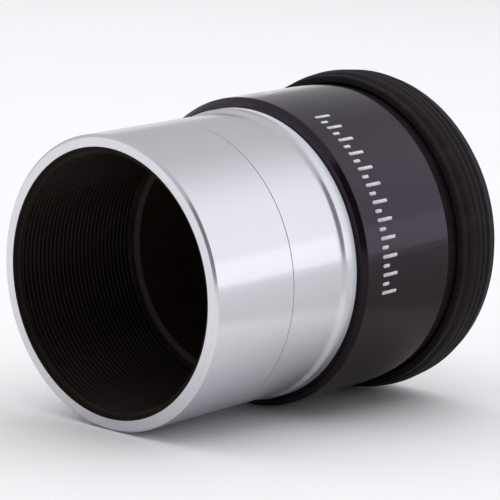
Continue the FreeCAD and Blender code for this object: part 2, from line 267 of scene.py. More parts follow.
@dataclass(frozen=True)
class TurnedSilver(Finish):
    """Bright anodised aluminium with fine lathe lines round it, and a painted shade on its lower side."""

    name: str = "turned_silver"
    bright: Colour = (0.805, 0.794, 0.832)
    dull: Colour = (0.725, 0.715, 0.752)
    # painted shade: the darker colour of the lower side, and the heights (mm) where it starts and where it is
    # full
    painted_shade: Colour = (0.650, 0.642, 0.678)
    shade_top: float = 0.0
    shade_full: float = -12.0
    fine_pitch: float = 0.07
    broad_pitch: float = 0.6
    cloud_size: float = 6.0
    line_height: float = 0.004
    roughness: float = 0.12
    frosted_roughness: float = 0.48
    frosted_share: float = 0.46

    def surface(self, kit: ShaderKit) -> Signal:
        """A clear gloss over a frosted metal, as anodising leaves it.

        Args:
            kit: The shader kit.

        Returns:
            The shader.
        """
        gloss = self.dress(kit)
        frosted = {**gloss, "Roughness": self.frosted_roughness}
        return kit.layered(self.frosted_share, kit.principled(gloss), kit.principled(frosted))

    def dress(self, kit: ShaderKit) -> dict[str, object]:
        """Lathe lines move the colour, the gloss and the surface a little.

        Handling leaves faint cloudy patches, and a painted shade darkens the colour towards the bottom.

        Args:
            kit: The shader kit.

        Returns:
            Values and signals for the shader's sockets.
        """
        fine = kit.tool_lines(self.fine_pitch)
        broad = kit.tool_lines(self.broad_pitch, detail=3.0)
        cloud = kit.grain(self.cloud_size, detail=3.0)
        turned = kit.mixed(fine * 0.55 + cloud * 0.35, self.bright, self.dull)
        # painted shade: the colour darkens towards the bottom, standing in for the shade on the barrel's
        # underside
        shade_below = kit.coordinates()[2].ramp(self.shade_top, self.shade_full)
        return {
            "Base Color": kit.mixed(shade_below, turned, self.painted_shade),
            "Metallic": 1.0,
            "Specular Tint": (0.84, 0.83, 0.86, 1.0),
            "Roughness": self.roughness + (fine - 0.5) * 0.10 + (cloud - 0.5) * 0.06,
            "Normal": kit.bump(fine + broad * 0.6, strength=0.35, depth=self.line_height),
        }


@dataclass(frozen=True)
class CollarSilver(TurnedSilver):
    """The same silver, with a finely blasted, paler collar at its rear end."""

    name: str = "turned_silver_collar"
    blasted: Colour = (0.89, 0.89, 0.96)
    blasted_roughness: float = 0.6
    blasted_share: float = 0.92
    # the least share of the blasted layer, at the bottom of the painted shade
    blasted_least: float = 0.16
    speckle_size: float = 0.12
    start: float = 0.0
    reach: float = 1.0

    def surface(self, kit: ShaderKit) -> Signal:
        """The blasted look comes in gradually over the collar, and fades out towards the bottom as a painted
        shade.

        Args:
            kit: The shader kit.

        Returns:
            The shader.
        """
        silver = super().surface(kit)
        speckle = kit.grain(self.speckle_size, detail=3.0)
        values = {
            "Base Color": (*self.blasted, 1.0),
            "Roughness": self.blasted_roughness,
            "Specular IOR Level": 0.3,
            "Normal": kit.bump(speckle, strength=0.4, depth=0.008),
        }
        blasted = kit.principled(values)
        _, along, up = kit.coordinates()
        # painted shade: the pale blasted layer is full on top and thins towards the bottom, so the collar's
        # lower side is darker
        painted_lit_top = up.ramp(self.shade_full, self.shade_top) * (1 - self.blasted_least) + self.blasted_least
        share = along.ramp(self.start, self.start + self.reach) * painted_lit_top * self.blasted_share
        return kit.layered(share, silver, blasted)


@dataclass(frozen=True)
class DullBlack(Finish):
    """Matte anti-reflection black, faintly dusty."""

    name: str = "dull_anodised_black"
    base: Colour = (0.0060, 0.0040, 0.0030)
    dusty: Colour = (0.0140, 0.0104, 0.0082)
    roughness: float = 0.55
    dust_size: float = 0.9
    blast_size: float = 0.09

    def dress(self, kit: ShaderKit) -> dict[str, object]:
        """A fine blasted grain with faint dust over it.

        Args:
            kit: The shader kit.

        Returns:
            Values and signals for the shader's sockets.
        """
        dust = kit.grain(self.dust_size, detail=4.0)
        blasted = kit.grain(self.blast_size)
        return {
            "Base Color": kit.mixed(dust.ramp(0.45, 0.75), self.base, self.dusty),
            "Roughness": self.roughness + (dust - 0.5) * 0.2,
            "Specular IOR Level": 0.16,
            "Specular Tint": (1.0, 0.82, 0.68, 1.0),
            "Normal": kit.bump(blasted, strength=0.4, depth=0.01),
        }


@dataclass(frozen=True)
class PaintedLightBlack(DullBlack):
    """Matte black with painted light: the base is lifted to stand in for light scattered deep in the bore,
    and a painted highlight lightens the front end of a tube.
    """

    name: str = "painted_light_black"
    # painted light: base and dust colours lifted well above the plain matte black, standing in for light
    # scattered in the bore
    base: Colour = (0.034, 0.020, 0.012)
    dusty: Colour = (0.044, 0.028, 0.020)
    # painted highlight: the lighter colour at the tube's front end, where light from the opening falls
    rubbed_and_lit: Colour = (0.050, 0.045, 0.043)
    lit_patch_size: float = 1.5
    front: float = 0.0
    reach: float = 0.5
    solid_share: float = 0.8

    def dress(self, kit: ShaderKit) -> dict[str, object]:
        """The painted highlight fades backwards from the front end.

        Args:
            kit: The shader kit.

        Returns:
            Values and signals for the shader's sockets.
        """
        values = super().dress(kit)
        along = kit.coordinates()[1]
        near = along.ramp(self.front + self.reach, self.front + self.reach * self.solid_share)
        # painted highlight: lighter towards the front end, in soft patches
        share = near * (kit.grain(self.lit_patch_size, detail=3.0) * 0.6 + 0.5)
        values["Base Color"] = kit.mixed(share, values["Base Color"], self.rubbed_and_lit)
        return values


@dataclass(frozen=True)
class ThreadBlack(Finish):
    """Blackened thread whose crests are rubbed a little brighter than its flanks."""

    name: str = "thread_black"
    crest_radius: float = 13.925
    root_radius: float = 14.25
    flank: Colour = (0.0036, 0.0024, 0.0018)
    crest: Colour = (0.0125, 0.0092, 0.0072)
    dust_size: float = 1.2
    blast_size: float = 0.1

    def dress(self, kit: ShaderKit) -> dict[str, object]:
        """The crest shade follows the radius, broken up by dust.

        Args:
            kit: The shader kit.

        Returns:
            Values and signals for the shader's sockets.
        """
        rubbed_and_lit = kit.radius().ramp(self.root_radius, self.crest_radius)
        dust = kit.grain(self.dust_size, detail=4.0)
        return {
            "Base Color": kit.mixed(rubbed_and_lit * (dust * 0.8 + 0.4), self.flank, self.crest),
            "Roughness": 0.62 - rubbed_and_lit * 0.2,
            "Specular IOR Level": 0.14,
            "Specular Tint": (1.0, 0.82, 0.68, 1.0),
            "Normal": kit.bump(kit.grain(self.blast_size), strength=0.3, depth=0.008),
        }


@dataclass(frozen=True)
class GlossBlack(Finish):
    """Gloss black lacquer over turned aluminium, with a faint plum tone, and a painted shade on its
    underside.
    """

    name: str = "gloss_black_lacquer"
    base: Colour = (0.0046, 0.0022, 0.0016)
    worn: Colour = (0.0066, 0.0040, 0.0032)
    roughness: float = 0.09
    ripple_pitch: float = 1.1
    peel_size: float = 0.7
    dust_size: float = 2.6
    # painted shade: a darker metallic copy of the lacquer, and the heights (mm) over which it takes over on
    # the underside
    underside_shade: Colour = (0.042, 0.034, 0.036)
    underside_shade_tint: Colour = (0.66, 0.62, 0.63)
    underside_shade_top: float = 5.0
    underside_shade_full: float = -3.0
    underside_shade_least: float = 0.2
    front: float = 0.0
    edge_reach: float = 0.6
    edge_solid: float = 0.8
    edge_roughness: float = 0.4
    edge_gloss: float = 0.12
    # the dulled front edge fades out between these heights (mm): painted shade on the lower front
    edge_shade_top: float = 9.0
    edge_shade_full: float = -3.0
    edge_share: float = 0.75

    def surface(self, kit: ShaderKit) -> Signal:
        """Deep gloss above, a painted shade of deader black on the underside, and thin lacquer on the front
        edge, whose dulling fades out towards the top as painted shade.

        Args:
            kit: The shader kit.

        Returns:
            The shader.
        """
        gloss = self.dress(kit)
        # painted shade: the darker metallic copy of the lacquer, blended in towards the bottom
        underside_shade = {**gloss, "Base Color": (*self.underside_shade, 1.0), "Metallic": 1.0}
        underside_shade["Specular Tint"] = (*self.underside_shade_tint, 1.0)
        thin = {**gloss, "Roughness": self.edge_roughness, "Specular IOR Level": self.edge_gloss}
        _, along, up = kit.coordinates()
        shade_below = up.ramp(self.underside_shade_top, self.underside_shade_full)
        share = shade_below * (1 - self.underside_shade_least) + self.underside_shade_least
        lacquer = kit.layered(share, kit.principled(gloss), kit.principled(underside_shade))
        # thinner lacquer on the front edge is dulled, and the dulling fades out towards the top, a painted
        # shade on the lower front edge
        edge = along.ramp(self.front + self.edge_reach, self.front + self.edge_reach * self.edge_solid)
        edge_share = edge * up.ramp(self.edge_shade_top, self.edge_shade_full) * self.edge_share
        return kit.layered(edge_share, lacquer, kit.principled(thin))

    def dress(self, kit: ShaderKit) -> dict[str, object]:
        """The turned metal under the lacquer leaves a slow ripple; fine dust dulls it in places.

        Args:
            kit: The shader kit.

        Returns:
            Values and signals for the shader's sockets.
        """
        ripple = kit.tool_lines(self.ripple_pitch, detail=1.0)
        peel = kit.grain(self.peel_size, detail=1.0)
        dust = kit.grain(self.dust_size, detail=5.0)
        return {
            "Base Color": kit.mixed(dust.ramp(0.4, 0.8), self.base, self.worn),
            "Roughness": self.roughness + dust.ramp(0.35, 0.8) * 0.08,
            "Specular IOR Level": 0.58,
            "Specular Tint": (0.84, 0.66, 1.0, 1.0),
            "Normal": kit.bump(peel + ripple * 0.7, strength=0.25, depth=0.006),
        }


@dataclass(frozen=True)
class SatinBlack(Finish):
    """Satin black anodised metal."""

    name: str = "satin_anodised_black"
    base: Colour = (0.014, 0.013, 0.014)
    rubbed_and_lit: Colour = (0.026, 0.025, 0.026)
    roughness: float = 0.34
    line_pitch: float = 0.12
    cloud_size: float = 3.0

    def dress(self, kit: ShaderKit) -> dict[str, object]:
        """Lathe lines and cloudy patches in the gloss.

        Args:
            kit: The shader kit.

        Returns:
            Values and signals for the shader's sockets.
        """
        lines = kit.tool_lines(self.line_pitch)
        cloud = kit.grain(self.cloud_size, detail=4.0)
        return {
            "Base Color": kit.mixed(cloud.ramp(0.4, 0.8), self.base, self.rubbed_and_lit),
            "Roughness": self.roughness + (cloud - 0.5) * 0.16,
            "Specular IOR Level": 0.5,
            "Normal": kit.bump(lines, strength=0.2, depth=0.004),
        }


@dataclass(frozen=True)
class BlackRubber(Finish):
    """Moulded black rubber, with a dry bloom on it."""

    name: str = "moulded_black_rubber"
    base: Colour = (0.0165, 0.0128, 0.0158)
    bloom: Colour = (0.0235, 0.0185, 0.0218)
    roughness: float = 0.58
    pebble_size: float = 0.16
    patch_size: float = 2.2

    def dress(self, kit: ShaderKit) -> dict[str, object]:
        """A pebbled mould texture, and bloom in soft patches.

        Args:
            kit: The shader kit.

        Returns:
            Values and signals for the shader's sockets.
        """
        pebble = kit.grain(self.pebble_size, detail=3.0)
        patch = kit.grain(self.patch_size, detail=4.0)
        return {
            "Base Color": kit.mixed(patch.ramp(0.42, 0.78), self.base, self.bloom),
            "Roughness": self.roughness + (patch - 0.5) * 0.22,
            "Specular IOR Level": 0.06,
            "Specular Tint": (1.0, 0.92, 0.94, 1.0),
            "Normal": kit.bump(pebble, strength=0.3, depth=0.008),
        }


@dataclass(frozen=True)
class CoatedGlass(Finish):
    """Lens glass with a blue anti-reflection coating."""

    name: str = "coated_glass"
    tint: Colour = (0.93, 0.97, 1.0)
    coating: Colour = (0.35, 0.55, 1.0)
    dust_size: float = 0.5

    def dress(self, kit: ShaderKit) -> dict[str, object]:
        """Clear glass whose coating colours what it reflects; a trace of dust dulls it.

        Args:
            kit: The shader kit.

        Returns:
            Values and signals for the shader's sockets.
        """
        dust = kit.grain(self.dust_size, detail=5.0)
        return {
            "Base Color": (*self.tint, 1.0),
            "Roughness": dust.ramp(0.62, 0.9) * 0.12,
            "IOR": 1.62,
            "Transmission Weight": 1.0,
            "Specular Tint": (*self.coating, 1.0),
        }


@dataclass(frozen=True)
class WhiteInk(Finish):
    """Pad-printed white ink, a little uneven."""

    name: str = "white_ink"
    full: Colour = (0.74, 0.73, 0.76)
    thin: Colour = (0.55, 0.54, 0.58)
    roughness: float = 0.42
    patch_size: float = 0.5

    def dress(self, kit: ShaderKit) -> dict[str, object]:
        """Ink that thins in small patches.

        Args:
            kit: The shader kit.

        Returns:
            Values and signals for the shader's sockets.
        """
        patch = kit.grain(self.patch_size, detail=3.0)
        return {
            "Base Color": kit.mixed(patch.ramp(0.45, 0.85), self.full, self.thin),
            "Roughness": self.roughness + (patch - 0.5) * 0.2,
            "Normal": kit.bump(patch, strength=0.3, depth=0.006),
        }


@dataclass(frozen=True)
class PalePaper(Finish):
    """Smooth pale background paper."""

    name: str = "pale_paper"
    shade: Colour = (0.875, 0.875, 0.88)
    # painted shade: the grey the paper fades to, the direction of the fade, and where it starts and ends (mm)
    falloff_grey: Colour = (0.60, 0.60, 0.61)
    falloff_side: Point = (0.802, 0.598)
    falloff_start: float = 31.0
    falloff_end: float = 47.0
    mottle_size: float = 4.0

    def dress(self, kit: ShaderKit) -> dict[str, object]:
        """Hardly any tooth, and a soft fade to grey on the side of the light panel, which is painted shade.

        Args:
            kit: The shader kit.

        Returns:
            Values and signals for the shader's sockets.
        """
        across, along, _ = kit.coordinates()
        sideways = across * self.falloff_side[0] + along * self.falloff_side[1]
        # painted shade: the paper darkens to grey beyond this line
        painted_falloff = sideways.ramp(self.falloff_start, self.falloff_end)
        share = painted_falloff * (kit.grain(self.mottle_size) * 0.04 + 0.96)
        return {
            "Base Color": kit.mixed(share, self.shade, self.falloff_grey),
            "Roughness": 0.9,
            "Specular IOR Level": 0.1,
        }


@dataclass(frozen=True)
class Span:
    """Where a turned CAD piece starts and ends along the axis, and its outer radius, in millimetres."""

    front: float
    rear: float
    radius: float

    @classmethod
    def of(cls, node: str) -> "Span":
        """Read a CAD node's extent."""
        low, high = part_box(node)
        return cls(low.y / MM, high.y / MM, max(high.x, high.z) / MM)


@dataclass
class Outline:
    """A closed outline for a lathe, in (along, radius) points with a rounding for each corner."""

    corners: list[tuple[float, float, float]] = field(default_factory=list)
    most_of_side: float = 0.45
    guard_share: float = 0.25

    def corner(self, along: float, radius: float, rounding: float = 0.0) -> "Outline":
        """Add a corner; its rounding says how far from the corner the curve starts, at most."""
        self.corners.append((along, radius, rounding))
        return self

    def bulge(self, along: float, radius: float, height: float, steps: int = 8) -> "Outline":
        """Add a curve from the last corner to a new one, standing out from the straight line between them.

        Args:
            along: Place of its end along the axis.
            radius: Its end's distance from the axis.
            height: How far its middle stands out to the left of the way along it.
            steps: How many pieces the curve has.

        Returns:
            This outline.
        """
        start = Vector(self.corners[-1][:2])
        end = Vector((along, radius))
        chord = end - start
        left = Vector((-chord.y, chord.x)).normalized()
        for step in range(1, steps + 1):
            share = step / steps
            point = start + chord * share + left * height * 4 * share * (1 - share)
            self.corners.append((point.x, point.y, 0.0))
        return self

    def rounded(self, steps: int = 4) -> list[Point]:
        """The outline's points with its corners rounded.

        Args:
            steps: How many pieces each rounding has.

        Returns:
            Points in order; a pair just outside each rounding holds the flat faces beside it flat.
        """
        points: list[Point] = []
        count = len(self.corners)
        for number, (along, radius, rounding) in enumerate(self.corners):
            here = Vector((along, radius))
            if rounding <= 0:
                points.append((along, radius))
                continue
            before = Vector(self.corners[number - 1][:2]) - here
            after = Vector(self.corners[(number + 1) % count][:2]) - here
            reach = min(rounding, before.length * self.most_of_side, after.length * self.most_of_side)
            start = here + before.normalized() * reach
            end = here + after.normalized() * reach
            guard = reach * self.guard_share
            points.append(tuple(start + before.normalized() * guard))
            for step in range(steps + 1):
                share = step / steps
                bend = start * (1 - share) ** 2 + here * 2 * share * (1 - share) + end * share ** 2
                points.append(tuple(bend))
            points.append(tuple(end + after.normalized() * guard))
        return points


@dataclass
class Lathe:
    """Turns an outline about the optical axis into a mesh."""

    name: str
    outline: Outline
    turn: Turn = Turn.FINE

    def make(self) -> bpy.types.Object:
        """The turned piece, closed and smooth-shaded.

        Returns:
            The piece.
        """
        profile = self.outline.rounded()
        sides = self.turn.value
        vertices = []
        for side in range(sides):
            angle = 2 * math.pi * side / sides
            wave, lift = math.sin(angle), math.cos(angle)
            vertices.extend((radius * wave * MM, along * MM, radius * lift * MM) for along, radius in profile)
        return build_mesh(self.name, vertices, turned_faces(sides, len(profile)))


def turned_faces(sides: int, count: int) -> list[tuple[int, int, int, int]]:
    """Join closed rings of corners that stand side by side round the axis.

    Args:
        sides: How many rings there are.
        count: How many corners each ring has.

    Returns:
        The corner numbers of each face.
    """
    faces = []
    for side in range(sides):
        here, there = side * count, ((side + 1) % sides) * count
        for number in range(count):
            following = (number + 1) % count
            faces.append((here + number, here + following, there + following, there + number))
    return faces


def limited(value: float) -> float:
    """The value, held between 0 and 1."""
    return min(max(value, 0.0), 1.0)


def build_mesh(
    name: str, vertices: Sequence[Sequence[float]], faces: Sequence[Sequence[int]]
) -> bpy.types.Object:
    """Make a smooth-shaded mesh object with its faces turned outwards.

    Args:
        name: The object's name.
        vertices: Corner places, in metres.
        faces: Corner numbers of each face.

    Returns:
        The object, linked to the scene.
    """
    mesh = bpy.data.meshes.new(name)
    mesh.from_pydata(vertices, [], faces)
    mesh.validate()
    mesh.update()
    made = bpy.data.objects.new(name, mesh)
    bpy.context.scene.collection.objects.link(made)
    signed = sum(face.normal.dot(face.center) * face.area for face in mesh.polygons)
    if signed < 0:
        mesh.flip_normals()
    mesh.shade_smooth()
    return made


def finish_piece(
    piece: bpy.types.Object, finish: Finish, body: str | None, replaced: Sequence[str] = ()
) -> bpy.types.Object:
    """Dress a piece, seat it on its body and report it.

    Args:
        piece: The piece.
        finish: Its finish.
        body: The CAD body it rides on, or None where it rides on none.
        replaced: The CAD nodes it stands for.

    Returns:
        The piece.
    """
    piece.data.materials.clear()
    piece.data.materials.append(finish.material())
    if body is not None:
        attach(piece, body)
    if replaced:
        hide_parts(*replaced)
    LOG.info("%s: %d faces, %s", piece.name, len(piece.data.polygons), finish.name)
    return piece


def dress_node(node: str, finish: Finish) -> None:
    """Give a CAD node that is shown as it is a finish.

    Args:
        node: The CAD node.
        finish: Its finish.
    """
    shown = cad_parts[node]
    shown.data.materials.clear()
    shown.data.materials.append(finish.material())
    LOG.info("%s: CAD mesh, %s", node, finish.name)


@dataclass
class Nosepiece:
    """The silver barrel in two sleeves, over the black threaded liner."""

    chamfer: float = 0.28
    edge: float = 0.05
    seam_edge: float = 0.03
    bore_edge: float = 0.04
    spigot_step: float = 0.275
    cone_length: float = 0.66
    cone_foot: float = 0.24
    cone_round: float = 0.13
    collar_length: float = 2.3
    collar_edge: float = 0.12
    blasted_from: float = 0.7
    thread_pitch: float = 0.6
    thread_depth: float = 0.325
    lead_in_length: float = 0.5
    lead_in_depth: float = 0.49
    liner_wall: float = 0.65
    flank_slope: float = 2.6
    crest_flat: float = 0.32
    run_in: float = 0.15
    run_out: float = 0.5
    sharp_angle: float = 38.0
    rows_per_pitch: int = 12

    def build(self) -> None:
        """Make the three pieces."""
        liner = Span.of("threaded_liner")
        self.front_sleeve(Span.of("front_sleeve"), liner.radius)
        self.rear_sleeve(Span.of("rear_sleeve"), Span.of("front_sleeve").radius, liner.radius)
        self.threaded_liner(liner)

    def front_sleeve(self, span: Span, bore: float) -> None:
        """The tube from the open rim to the seam.

        Args:
            span: Where the CAD sleeve lies.
            bore: Its inner radius.
        """
        outline = Outline()
        outline.corner(span.front, bore, self.bore_edge)
        outline.corner(span.front, span.radius - self.chamfer, self.edge)
        outline.corner(span.front + self.chamfer, span.radius, self.edge)
        outline.corner(span.rear, span.radius, self.seam_edge)
        outline.corner(span.rear, bore, self.seam_edge)
        piece = Lathe("nosepiece_front_tube", outline).make()
        finish_piece(piece, TurnedSilver(), "barrel", ["front_sleeve"])

    def rear_sleeve(self, span: Span, barrel: float, bore: float) -> None:
        """The tube from the seam to the collar, with its spigot inside the body.

        Args:
            span: Where the CAD sleeve lies.
            barrel: The barrel's radius.
            bore: Its inner radius.
        """
        body = Span.of("body_shell")
        cone = body.front - self.collar_length
        spigot = barrel - self.spigot_step
        outline = Outline()
        outline.corner(span.front, bore, self.seam_edge)
        outline.corner(span.front, barrel, self.seam_edge)
        outline.corner(cone, barrel, self.cone_foot)
        outline.corner(cone + self.cone_length, span.radius, self.cone_round)
        outline.corner(body.front - self.collar_edge, span.radius, self.edge)
        outline.corner(body.front, span.radius - self.collar_edge, self.edge)
        outline.corner(body.front, spigot, self.edge)
        outline.corner(span.rear, spigot, self.edge)
        outline.corner(span.rear, bore, self.edge)
        piece = Lathe("nosepiece_rear_tube", outline).make()
        reach = self.collar_length - self.cone_length
        finish = CollarSilver(start=cone + self.cone_length * self.blasted_from, reach=reach)
        finish_piece(piece, finish, "barrel", ["rear_sleeve"])

    def threaded_liner(self, span: Span) -> None:
        """The black liner with its real helical thread.

        The inner wall is one grid, whose radius rises and falls with the helix and runs out at both ends.

        Args:
            span: Where the CAD liner lies.
        """
        crest = span.radius - self.liner_wall
        mouth = span.front + self.lead_in_length
        step = self.thread_pitch / self.rows_per_pitch
        rows = int((span.rear - mouth) / step)
        step = (span.rear - mouth) / rows
        sides = Turn.MEDIUM.value
        vertices = []
        for side in range(sides):
            share = side / sides
            wave, lift = math.sin(2 * math.pi * share) * MM, math.cos(2 * math.pi * share) * MM
            ring = [(span.front, crest + self.lead_in_depth)]
            ring += [(span.front, span.radius), (span.rear, span.radius)]
            for row in range(rows, -1, -1):
                along = mouth + row * step
                ring.append((along, crest + self.thread_height(along - mouth, span.rear - along, share)))
            vertices.extend((radius * wave, along * MM, radius * lift) for along, radius in ring)
        piece = build_mesh("nosepiece_thread_liner", vertices, turned_faces(sides, len(ring)))
        piece.data.set_sharp_from_angle(angle=math.radians(self.sharp_angle))
        finish = ThreadBlack(crest_radius=crest, root_radius=crest + self.thread_depth)
        finish_piece(piece, finish, "barrel", ["threaded_liner"])

    def thread_height(self, from_front: float, from_rear: float, share: float) -> float:
        """How deep the thread is cut at one place.

        Args:
            from_front: Distance behind the lead-in.
            from_rear: Distance ahead of the liner's rear end.
            share: Share of a turn about the axis.

        Returns:
            The depth behind the crest.
        """
        phase = (from_front / self.thread_pitch - share) % 1.0
        flank = limited((0.5 - abs(phase - 0.5)) * self.flank_slope - self.crest_flat)
        ends = limited(from_rear / self.run_out) * limited(from_front / self.run_in)
        return self.thread_depth * flank * ends


@dataclass
class LightPath:
    """What shows inside the barrel and the eye end: the field tube, the stop, the cell and the lenses."""

    tube_bore: float = 12.65
    nose_wall: float = 0.5
    nose_length: float = 0.86
    nose_land: float = 0.05
    nose_edge: float = 0.02
    edge: float = 0.05
    bevel: float = 0.4
    bevel_edge: float = 0.06
    # how far past the bevel the painted highlight on the tube's front reaches
    lit_past_bevel: float = 0.1

    def build(self) -> None:
        """Make the field tube, and dress the CAD pieces behind it."""
        self.field_tube(Span.of("field_tube"))
        for node in ("field_stop_ring", "lens_cell", "lens_spacer"):
            dress_node(node, DullBlack())
        dress_node("lens_retaining_ring", SatinBlack())
        for node in ("field_flint_lens", "field_crown_lens", "eye_crown_lens", "eye_flint_lens"):
            dress_node(node, CoatedGlass())

    def field_tube(self, span: Span) -> None:
        """The smooth black tube behind the thread, with its bevelled nose.

        Args:
            span: Where the CAD tube lies.
        """
        nose = self.tube_bore + self.nose_wall
        outline = Outline()
        outline.corner(span.front, nose - self.nose_land, self.nose_edge)
        outline.corner(span.front, nose, self.nose_edge)
        outline.corner(span.front + self.nose_length, nose, self.edge)
        outline.corner(span.front + self.nose_length, span.radius, self.edge)
        outline.corner(span.rear, span.radius, self.edge)
        outline.corner(span.rear, self.tube_bore, self.edge)
        outline.corner(span.front + self.bevel, self.tube_bore, self.bevel_edge)
        piece = Lathe("inner_field_tube", outline, Turn.MEDIUM).make()
        # the field tube gets a painted glow in its base, and a painted highlight at its front end
        finish = PaintedLightBlack(front=span.front, reach=self.bevel + self.lit_past_bevel)
        finish_piece(piece, finish, "barrel", ["field_tube"])


@dataclass
class Body:
    """The gloss black body and what is printed on it."""

    bevel: float = 0.5
    bevel_round: float = 0.1
    setback: float = 0.05
    edge: float = 0.06
    hidden_edge: float = 0.05
    rear_edge: float = 0.15
    spigot_step: float = 0.275
    spigot_room: float = 0.1
    core_step: float = 0.2
    ink_height: float = 0.012
    scale_front: float = 3.0
    scale_height: float = 2.4
    short_share: float = 0.45
    mark_width: float = 0.38
    mark_step: float = 3.3
    group_starts: Point = (25.5, -74.6)
    mark_count: int = 23
    mark_end_steps: int = 6

    def build(self) -> None:
        """Make the shell and its printed scale."""
        span = Span.of("body_shell")
        self.shell(span)
        self.printed_scale(span)

    def shell(self, span: Span) -> None:
        """The body with its bevelled front edge.

        Args:
            span: Where the CAD body lies.
        """
        spigot = Span.of("front_sleeve").radius - self.spigot_step
        spigot_end = Span.of("rear_sleeve").rear + self.spigot_room
        cap = Span.of("eye_cap")
        core = spigot - self.core_step
        cell = Span.of("lens_cell").radius
        outline = Outline()
        outline.corner(span.front, spigot, self.hidden_edge)
        outline.corner(span.front, span.radius - self.bevel, self.edge)
        outline.corner(span.front + self.setback, span.radius - self.bevel, self.edge)
        outline.corner(span.front + self.setback + self.bevel, span.radius, self.bevel_round)
        outline.corner(span.rear - self.rear_edge, span.radius, self.edge)
        outline.corner(span.rear, span.radius - self.rear_edge, self.edge)
        outline.corner(span.rear, core, self.hidden_edge)
        outline.corner(cap.front, core, self.hidden_edge)
        outline.corner(cap.front, cell, self.hidden_edge)
        outline.corner(spigot_end, cell, self.hidden_edge)
        outline.corner(spigot_end, spigot, self.hidden_edge)
        piece = Lathe("outer_body", outline).make()
        finish_piece(piece, GlossBlack(front=span.front), "barrel", ["body_shell"])

    def printed_scale(self, span: Span) -> None:
        """Two plain scales of long and short marks round the body, where its maker's print would be.

        Args:
            span: Where the CAD body lies.
        """
        vertices: list[Sequence[float]] = []
        faces: list[Sequence[int]] = []
        front = span.front + self.scale_front
        for start in self.group_starts:
            for number in range(self.mark_count):
                long_mark = number % 2 == 0
                height = self.scale_height if long_mark else self.scale_height * self.short_share
                middle = math.radians(start + number * self.mark_step)
                self.add_mark(vertices, faces, span.radius, middle, front, height)
        piece = build_mesh("printed_scale", vertices, faces)
        finish_piece(piece, WhiteInk(), "barrel")

    def add_mark(
        self,
        vertices: list[Sequence[float]],
        faces: list[Sequence[int]],
        radius: float,
        middle: float,
        front: float,
        height: float,
    ) -> None:
        """Add one printed mark, a thin closed block with rounded ends that follows the body's curve.

        Args:
            vertices: Corner places so far.
            faces: Faces so far.
            radius: The body's radius.
            middle: The mark's angle from the top, in radians.
            front: Where it starts along the axis.
            height: Its length along the axis.
        """
        half = self.mark_width / 2
        ends = self.mark_end_steps
        rim: list[Point] = []
        for centre, start in ((front + half, math.pi), (front + height - half, 0.0)):
            for step in range(ends + 1):
                turn = start + math.pi * step / ends - math.pi / 2
                rim.append((centre + half * math.cos(turn), half * math.sin(turn)))
        base = len(vertices)
        count = len(rim)
        for level in (radius - self.ink_height, radius + self.ink_height):
            for along, across in rim:
                angle = middle + across / radius
                vertices.append((level * math.sin(angle) * MM, along * MM, level * math.cos(angle) * MM))
        faces.append([base + number for number in range(count)][::-1])
        faces.append([base + count + number for number in range(count)])
        for number in range(count):
            following = (number + 1) % count
            faces.append((base + number, base + following, base + count + following, base + count + number))


@dataclass
class EyeEnd:
    """The metal cap round the eye lens."""

    def build(self) -> None:
        """Dress the cap."""
        dress_node("eye_cap", SatinBlack())


